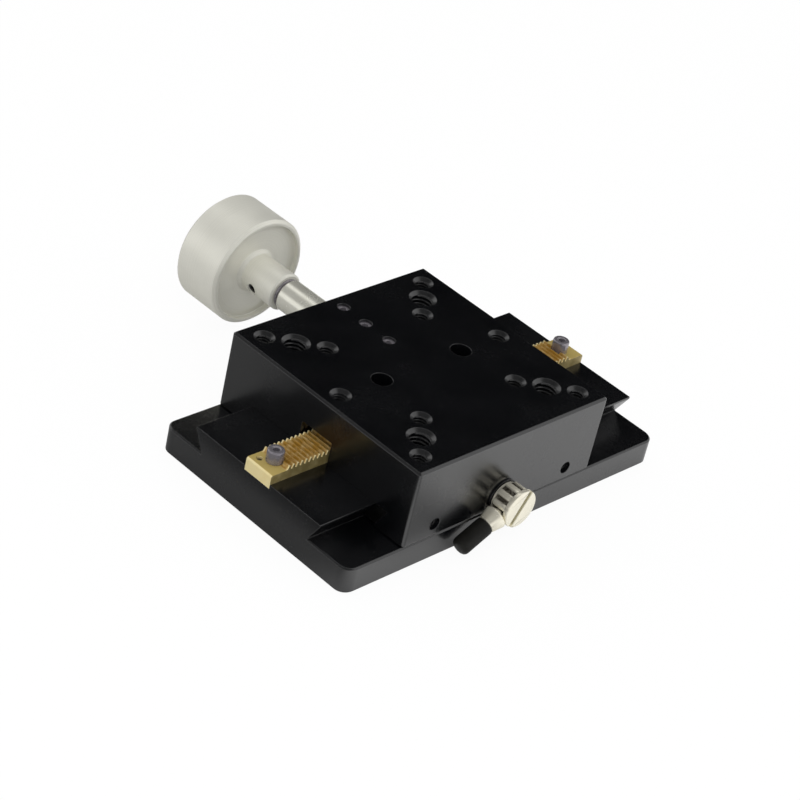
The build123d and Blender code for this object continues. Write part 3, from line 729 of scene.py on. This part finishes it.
# Lever grip: matte moulded sleeve
sleeve = {
    "color": (0.005, 0.0048, 0.004, 1),
    "pale": (0.009, 0.0087, 0.007, 1),
    "smooth": 0.42,
    "dull": 0.6,
    "worn": (0.07, 0.068, 0.064, 1),
    "specular": 0.25,
    "grain": 5200.0,
    "cloud": 300.0,
    "grainDepth": 0.00001,
    "bump": 0.6,
    "edgeWidth": 0.0003,
    "edgeChips": 2200.0,
    "edgeShare": 0.5,
    "haze": 160.0,
    "specks": 1300.0,
}


def makeSleeve(values):
    material, tree, shader = newFinish("mattePlastic")
    grain = useEffect(tree, "fineGrain", Scale=values["grain"], Cloud_Scale=values["cloud"])
    wear = useEffect(tree, "edgeWear", Width=values["edgeWidth"], Breakup=values["edgeChips"])
    touch = useEffect(tree, "handling", Haze_Scale=values["haze"], Speck_Scale=values["specks"])
    color = addMix(tree, grain["Tone"], values["color"], values["pale"])
    color = addMix(tree, addMath(tree, "MULTIPLY", wear["Mask"], values["edgeShare"]), color, values["worn"])
    tree.links.new(color, shader.inputs["Base Color"])
    rough = addRange(tree, touch["Haze"], 0, 1, values["smooth"], values["dull"])
    tree.links.new(rough, shader.inputs["Roughness"])
    shader.inputs["Specular IOR Level"].default_value = values["specular"]
    addBump(tree, shader, grain["Height"], values["bump"], values["grainDepth"], wear["Normal"])
    return material


sleeveFinish = makeSleeve(sleeve)
paint(sleeveFinish, nodes["lever_grip"])
print("finishes ready:", len(bpy.data.materials))


# Shaping helpers for the small turned and milled pieces
weldDistance = 1e-7


def turnShape(shape, profile, place, along, outward, steps=48):
    corners = [shape.verts.new(place + along * reach + outward * radius) for reach, radius in profile]
    edges = [shape.edges.new(pair) for pair in zip(corners, corners[1:])]
    bmesh.ops.spin(shape, geom=corners + edges, cent=place, axis=along, angle=math.tau,
                   steps=steps, use_merge=True, use_duplicate=False)
    bmesh.ops.remove_doubles(shape, verts=shape.verts[:], dist=weldDistance)
    bmesh.ops.recalc_face_normals(shape, faces=shape.faces[:])


def roundEdges(shape, width, segments, wanted):
    edges = [edge for edge in shape.edges if wanted(edge)]
    bmesh.ops.bevel(shape, geom=edges, offset=width, offset_type="OFFSET", segments=segments,
                    profile=0.5, affect="EDGES", material=-1)


def isSharp(edge, angle=0.6):
    return len(edge.link_faces) == 2 and edge.calc_face_angle() > angle


def joinShape(shape, extra):
    holder = bpy.data.meshes.new("holder")
    extra.to_mesh(holder)
    extra.free()
    shape.from_mesh(holder)
    bpy.data.meshes.remove(holder)


def finishPiece(name, shape, body, material, stands=(), smooth=0.6):
    bmesh.ops.remove_doubles(shape, verts=shape.verts[:], dist=weldDistance)
    bmesh.ops.recalc_face_normals(shape, faces=shape.faces[:])
    mesh = bpy.data.meshes.new(name)
    shape.to_mesh(mesh)
    shape.free()
    mesh.shade_smooth()
    mesh.set_sharp_from_angle(angle=smooth)
    piece = bpy.data.objects.new(name, mesh)
    bpy.context.scene.collection.objects.link(piece)
    paint(material, piece)
    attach(piece, body)
    if stands:
        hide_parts(*stands)
    return piece


# Lock screw: shank, collar, fluted barrel and slotted cap, turned about an axis along Y
lockScrew = {
    "axis": (-0.004, 0.0, 0.009715),
    "shankRadius": 0.002,
    "tipY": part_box("lock_screw")[1].y,  # the far end, which meets the pad
    "tipChamfer": 0.0004,
    "collarY": -0.03038,
    "collarRadius": 0.0039,
    "collarChamfer": 0.0002,
    "barrelY": -0.03128,
    "barrelRadius": 0.0044,
    "flutes": 10,
    "fluteDepth": 0.0009,
    "fluteShare": 0.46,  # how much of each step round the barrel is groove
    "fluteSteps": 12,
    "fluteForm": 0.45,  # power that rounds the groove's floor and steepens its walls
    "barrelOverlap": 0.0001,
    "barrelRound": 0.00009,
    "barrelSharp": 0.7,
    "capY": -0.03488,
    "faceY": -0.03598,
    "capRadius": 0.00465,
    "capBreak": (0.0001, 0.00005),
    "capSteps": 72,
    "faceRound": 0.00022,
    "slotLift": 0.00002,  # keeps the halves of the face clear of the slot's floor
    "slotWidth": 0.0012,
    "slotDepth": 0.00095,
    "slotTurn": 29,
    "leverTurn": 25,
}


def ringAt(y, values):
    x, z = values["axis"][0], values["axis"][2]
    return Matrix.Translation((x, y, z)) @ Matrix.Rotation(math.pi / 2, 4, "X")


def extrudeFaces(shape, faces, move):
    made = bmesh.ops.extrude_face_region(shape, geom=faces)["geom"]
    top = [item for item in made if isinstance(item, bmesh.types.BMVert)]
    bmesh.ops.translate(shape, verts=top, vec=move)
    return [item for item in made if isinstance(item, bmesh.types.BMFace)]


def makeLockScrew(values):
    shape = bmesh.new()
    place, back, up = Vector(values["axis"]), Vector((0, -1, 0)), Vector((0, 0, 1))
    shank, collar = values["shankRadius"], values["collarRadius"]
    tip, step = values["tipChamfer"], values["collarChamfer"]
    inside = -values["barrelY"] + values["barrelOverlap"]
    turnShape(shape, [
        (-values["tipY"], 0), (-values["tipY"], shank - tip), (-values["tipY"] + tip, shank),
        (-values["collarY"], shank), (-values["collarY"], collar - step),
        (-values["collarY"] + step, collar), (inside, collar), (inside, 0),
    ], place, back, up)

    barrel = bmesh.new()
    pitch = math.tau / values["flutes"]
    circle = bmesh.ops.create_circle(barrel, cap_ends=True, radius=values["barrelRadius"],
                                     segments=values["flutes"] * values["fluteSteps"],
                                     matrix=ringAt(values["barrelY"], values))
    middle = Vector((place.x, values["barrelY"], place.z))
    phase = math.radians(180 + values["leverTurn"])
    for corner in circle["verts"]:
        arm = corner.co - middle
        turn = (math.atan2(arm.z, arm.x) - phase) / pitch % 1 - 0.5
        dip = max(0.0, 1 - abs(turn) * 2 / values["fluteShare"])
        depth = values["fluteDepth"] / values["barrelRadius"] * dip ** values["fluteForm"]
        corner.co = middle + arm * (1 - depth)
    extrudeFaces(barrel, barrel.faces[:], (0, values["capY"] - values["barrelY"], 0))
    roundEdges(barrel, values["barrelRound"], 2, lambda edge: isSharp(edge, values["barrelSharp"]))
    joinShape(shape, barrel)

    floorY = values["faceY"] + values["slotDepth"]
    radius = values["capRadius"]
    cap = bmesh.new()
    inward, forward = values["capBreak"]
    turnShape(cap, [
        (-values["capY"], 0), (-values["capY"], radius - inward), (-values["capY"] + forward, radius),
        (-floorY, radius), (-floorY, 0),
    ], place, back, up, values["capSteps"])
    joinShape(shape, cap)
    turn = math.radians(values["slotTurn"])
    for side in (-1, 1):
        half = bmesh.new()
        bmesh.ops.create_circle(half, cap_ends=True, radius=radius, segments=values["capSteps"],
                                matrix=ringAt(floorY + values["slotLift"], values))
        aside = Vector((math.cos(turn), 0, -math.sin(turn))) * side
        bmesh.ops.bisect_plane(half, geom=half.verts[:] + half.edges[:] + half.faces[:],
                               plane_co=place + aside * values["slotWidth"] / 2, plane_no=aside,
                               clear_inner=True)
        extrudeFaces(half, half.faces[:], (0, values["faceY"] - floorY - values["slotLift"], 0))
        front = values["faceY"] + 1e-6
        roundEdges(half, values["faceRound"], 3,
                   lambda edge: isSharp(edge) and all(v.co.y < front for v in edge.verts))
        joinShape(shape, half)
    return finishPiece("lockScrewTurned", shape, "lock", metalFinishes["warmNickel"],
                       ("lock_screw",))


makeLockScrew(lockScrew)

# Lever: polished taper with a soft shoulder, and a moulded sleeve with a rounded end
lever = {
    "start": (-0.004, -0.03308, 0.009715),
    "droop": 25,
    "steps": 56,
    "smooth": 0.75,
    "armProfile": (
        # reach along the lever and radius
        (0.00185, 0), (0.00185, 0.0015), (0.0044, 0.0015), (0.0045, 0.0023), (0.0047, 0.00272),
        (0.005, 0.00286), (0.0053, 0.00284), (0.0078, 0.00216), (0.00795, 0.0021), (0.00802, 0.0019),
        (0.00802, 0.0012), (0.0154, 0.0012), (0.0154, 0),
    ),
    "sleeveProfile": (
        (0.0081, 0.00122), (0.0081, 0.00195), (0.00818, 0.0021), (0.00835, 0.00218), (0.0086, 0.0022),
        (0.0152, 0.0022), (0.01565, 0.00212), (0.016, 0.0019), (0.01624, 0.00155), (0.01636, 0.001),
        (0.0164, 0.0004), (0.0164, 0), (0.0155, 0), (0.0155, 0.00122), (0.0081, 0.00122),
    ),
}


def makeLever(values):
    droop = math.radians(values["droop"])
    place, along = Vector(values["start"]), Vector((-math.cos(droop), 0, -math.sin(droop)))
    arm = bmesh.new()
    turnShape(arm, values["armProfile"], place, along, Vector((0, 1, 0)), values["steps"])
    finishPiece("leverArmTurned", arm, "lock", metalFinishes["warmNickel"], ("lever_arm",),
                values["smooth"])
    grip = bmesh.new()
    turnShape(grip, values["sleeveProfile"], place, along, Vector((0, 1, 0)), values["steps"])
    finishPiece("leverSleeveMoulded", grip, "lock", sleeveFinish, ("lever_grip",),
                values["smooth"])


makeLever(lever)
print("lock and lever shaped")

# Rack screws: socket cap heads with a soft rim and a hexagon socket
capScrew = {
    "places": ((-0.0457, 0.0), (0.0457, 0.0)),
    "seat": 0.0143,
    "headHeight": 0.0031,
    "headRadius": 0.00195,
    "shankRadius": 0.001,
    "shankLength": 0.0083,
    "socket": 0.0015,
    "socketDepth": 0.0011,
    "socketSteps": 48,
    "socketTurn": 12,
    "mouth": 0.00105,
    "mouthBreak": (0.00008, 0.00006),
    "mouthDepth": 0.00012,
    "seatChamfer": 0.0001,
    # soft rim of the head: down from the top and in from the side
    "rim": ((0.00032, 0.0), (0.00018, 0.00004), (0.00006, 0.00014), (0.0, 0.0003)),
    "smooth": 0.5,
}


def addSocketHead(shape, x, y, values):
    top = values["seat"] + values["headHeight"]
    radius, mouth = values["headRadius"], values["mouth"]
    place, up = Vector((x, y, 0)), Vector((0, 0, 1))
    seat, foot, shank = values["seat"], values["seat"] - values["shankLength"], values["shankRadius"]
    chamfer, (down, inward) = values["seatChamfer"], values["mouthBreak"]
    head = bmesh.new()
    turnShape(head, [
        (foot, 0), (foot, shank), (seat, shank), (seat, radius - chamfer), (seat + chamfer, radius),
        *((top - low, radius - aside) for low, aside in values["rim"]),
        (top, mouth), (top - down, mouth - inward),
    ], place, up, Vector((1, 0, 0)))
    rim = [edge for edge in head.edges if edge.is_boundary]
    hexagon = bmesh.ops.create_circle(head, cap_ends=False, radius=values["socket"] / 2,
                                      segments=values["socketSteps"],
                                      matrix=Matrix.Translation((x, y, top - values["mouthDepth"])))["verts"]
    for corner in hexagon:
        arm = corner.co - Vector((x, y, corner.co.z))
        turn = math.atan2(arm.y, arm.x) + math.radians(values["socketTurn"])
        turn = turn % math.radians(60) - math.radians(30)
        corner.co = corner.co + arm * (1 / math.cos(turn) - 1)
    mouthEdges = list({edge for corner in hexagon for edge in corner.link_edges})
    bmesh.ops.bridge_loops(head, edges=rim + mouthEdges)
    made = bmesh.ops.extrude_edge_only(head, edges=mouthEdges)["geom"]
    low = [item for item in made if isinstance(item, bmesh.types.BMVert)]
    bmesh.ops.translate(head, verts=low, vec=(0, 0, -values["socketDepth"]))
    bmesh.ops.contextual_create(head, geom=[item for item in made if isinstance(item, bmesh.types.BMEdge)
                                            and item.is_boundary])
    joinShape(shape, head)


def makeCapScrews(values):
    shape = bmesh.new()
    for x, y in values["places"]:
        addSocketHead(shape, x, y, values)
    finishPiece("rackCapScrews", shape, "base", metalFinishes["bareSteel"], ("rack_screws",),
                values["smooth"])


makeCapScrews(capScrew)

# Threads cut in the tapped holes of the carriage top
threads = {
    "center": (-0.004, 0.0),
    "steps": 20,  # round one turn
    "sink": 0.00003,  # how far the ridge's foot lies behind the wall
    "ridge": 0.2,  # height and half width of the ridge as shares of the pitch
    "half": 0.36,
    "smooth": 0.9,
    "patterns": (
        # half spacing along X and Y, hole radius, pitch, lowest and highest point of the thread
        (0.025, 0.025, 0.00165, 0.0007, 0.0186, 0.0251),
        (0.020, 0.020, 0.0025, 0.001, 0.0168, 0.025),
        (0.015, 0.015, 0.00165, 0.0007, 0.0186, 0.0251),
        (0.025, 0.0, 0.00165, 0.0007, 0.0182, 0.0251),
    ),
}


def cutThread(shape, x, y, radius, pitch, low, high, values):
    steps = values["steps"]
    count = int((high - low) / pitch * steps)
    ridge = bmesh.new()
    outer, inner, half = radius + values["sink"], radius - pitch * values["ridge"], pitch * values["half"]
    corners = [ridge.verts.new((x + outer, y, low - half)), ridge.verts.new((x + inner, y, low)),
               ridge.verts.new((x + outer, y, low + half))]
    first = ridge.faces.new(corners)
    bmesh.ops.spin(ridge, geom=[first], cent=(x, y, low), axis=(0, 0, 1), dvec=(0, 0, pitch / steps),
                   angle=math.tau * count / steps, steps=count, use_merge=False, use_duplicate=False)
    joinShape(shape, ridge)


def makeThreads(values):
    shape = bmesh.new()
    for halfX, halfY, radius, pitch, low, high in values["patterns"]:
        for sideX in (-1, 1):
            for sideY in ((-1, 1) if halfY else (0,)):
                cutThread(shape, values["center"][0] + sideX * halfX, values["center"][1] + sideY * halfY,
                          radius, pitch, low, high, values)
    finishPiece("tappedThreads", shape, "carriage", anodisedFinish, (), values["smooth"])


makeThreads(threads)
print("screws and threads shaped")
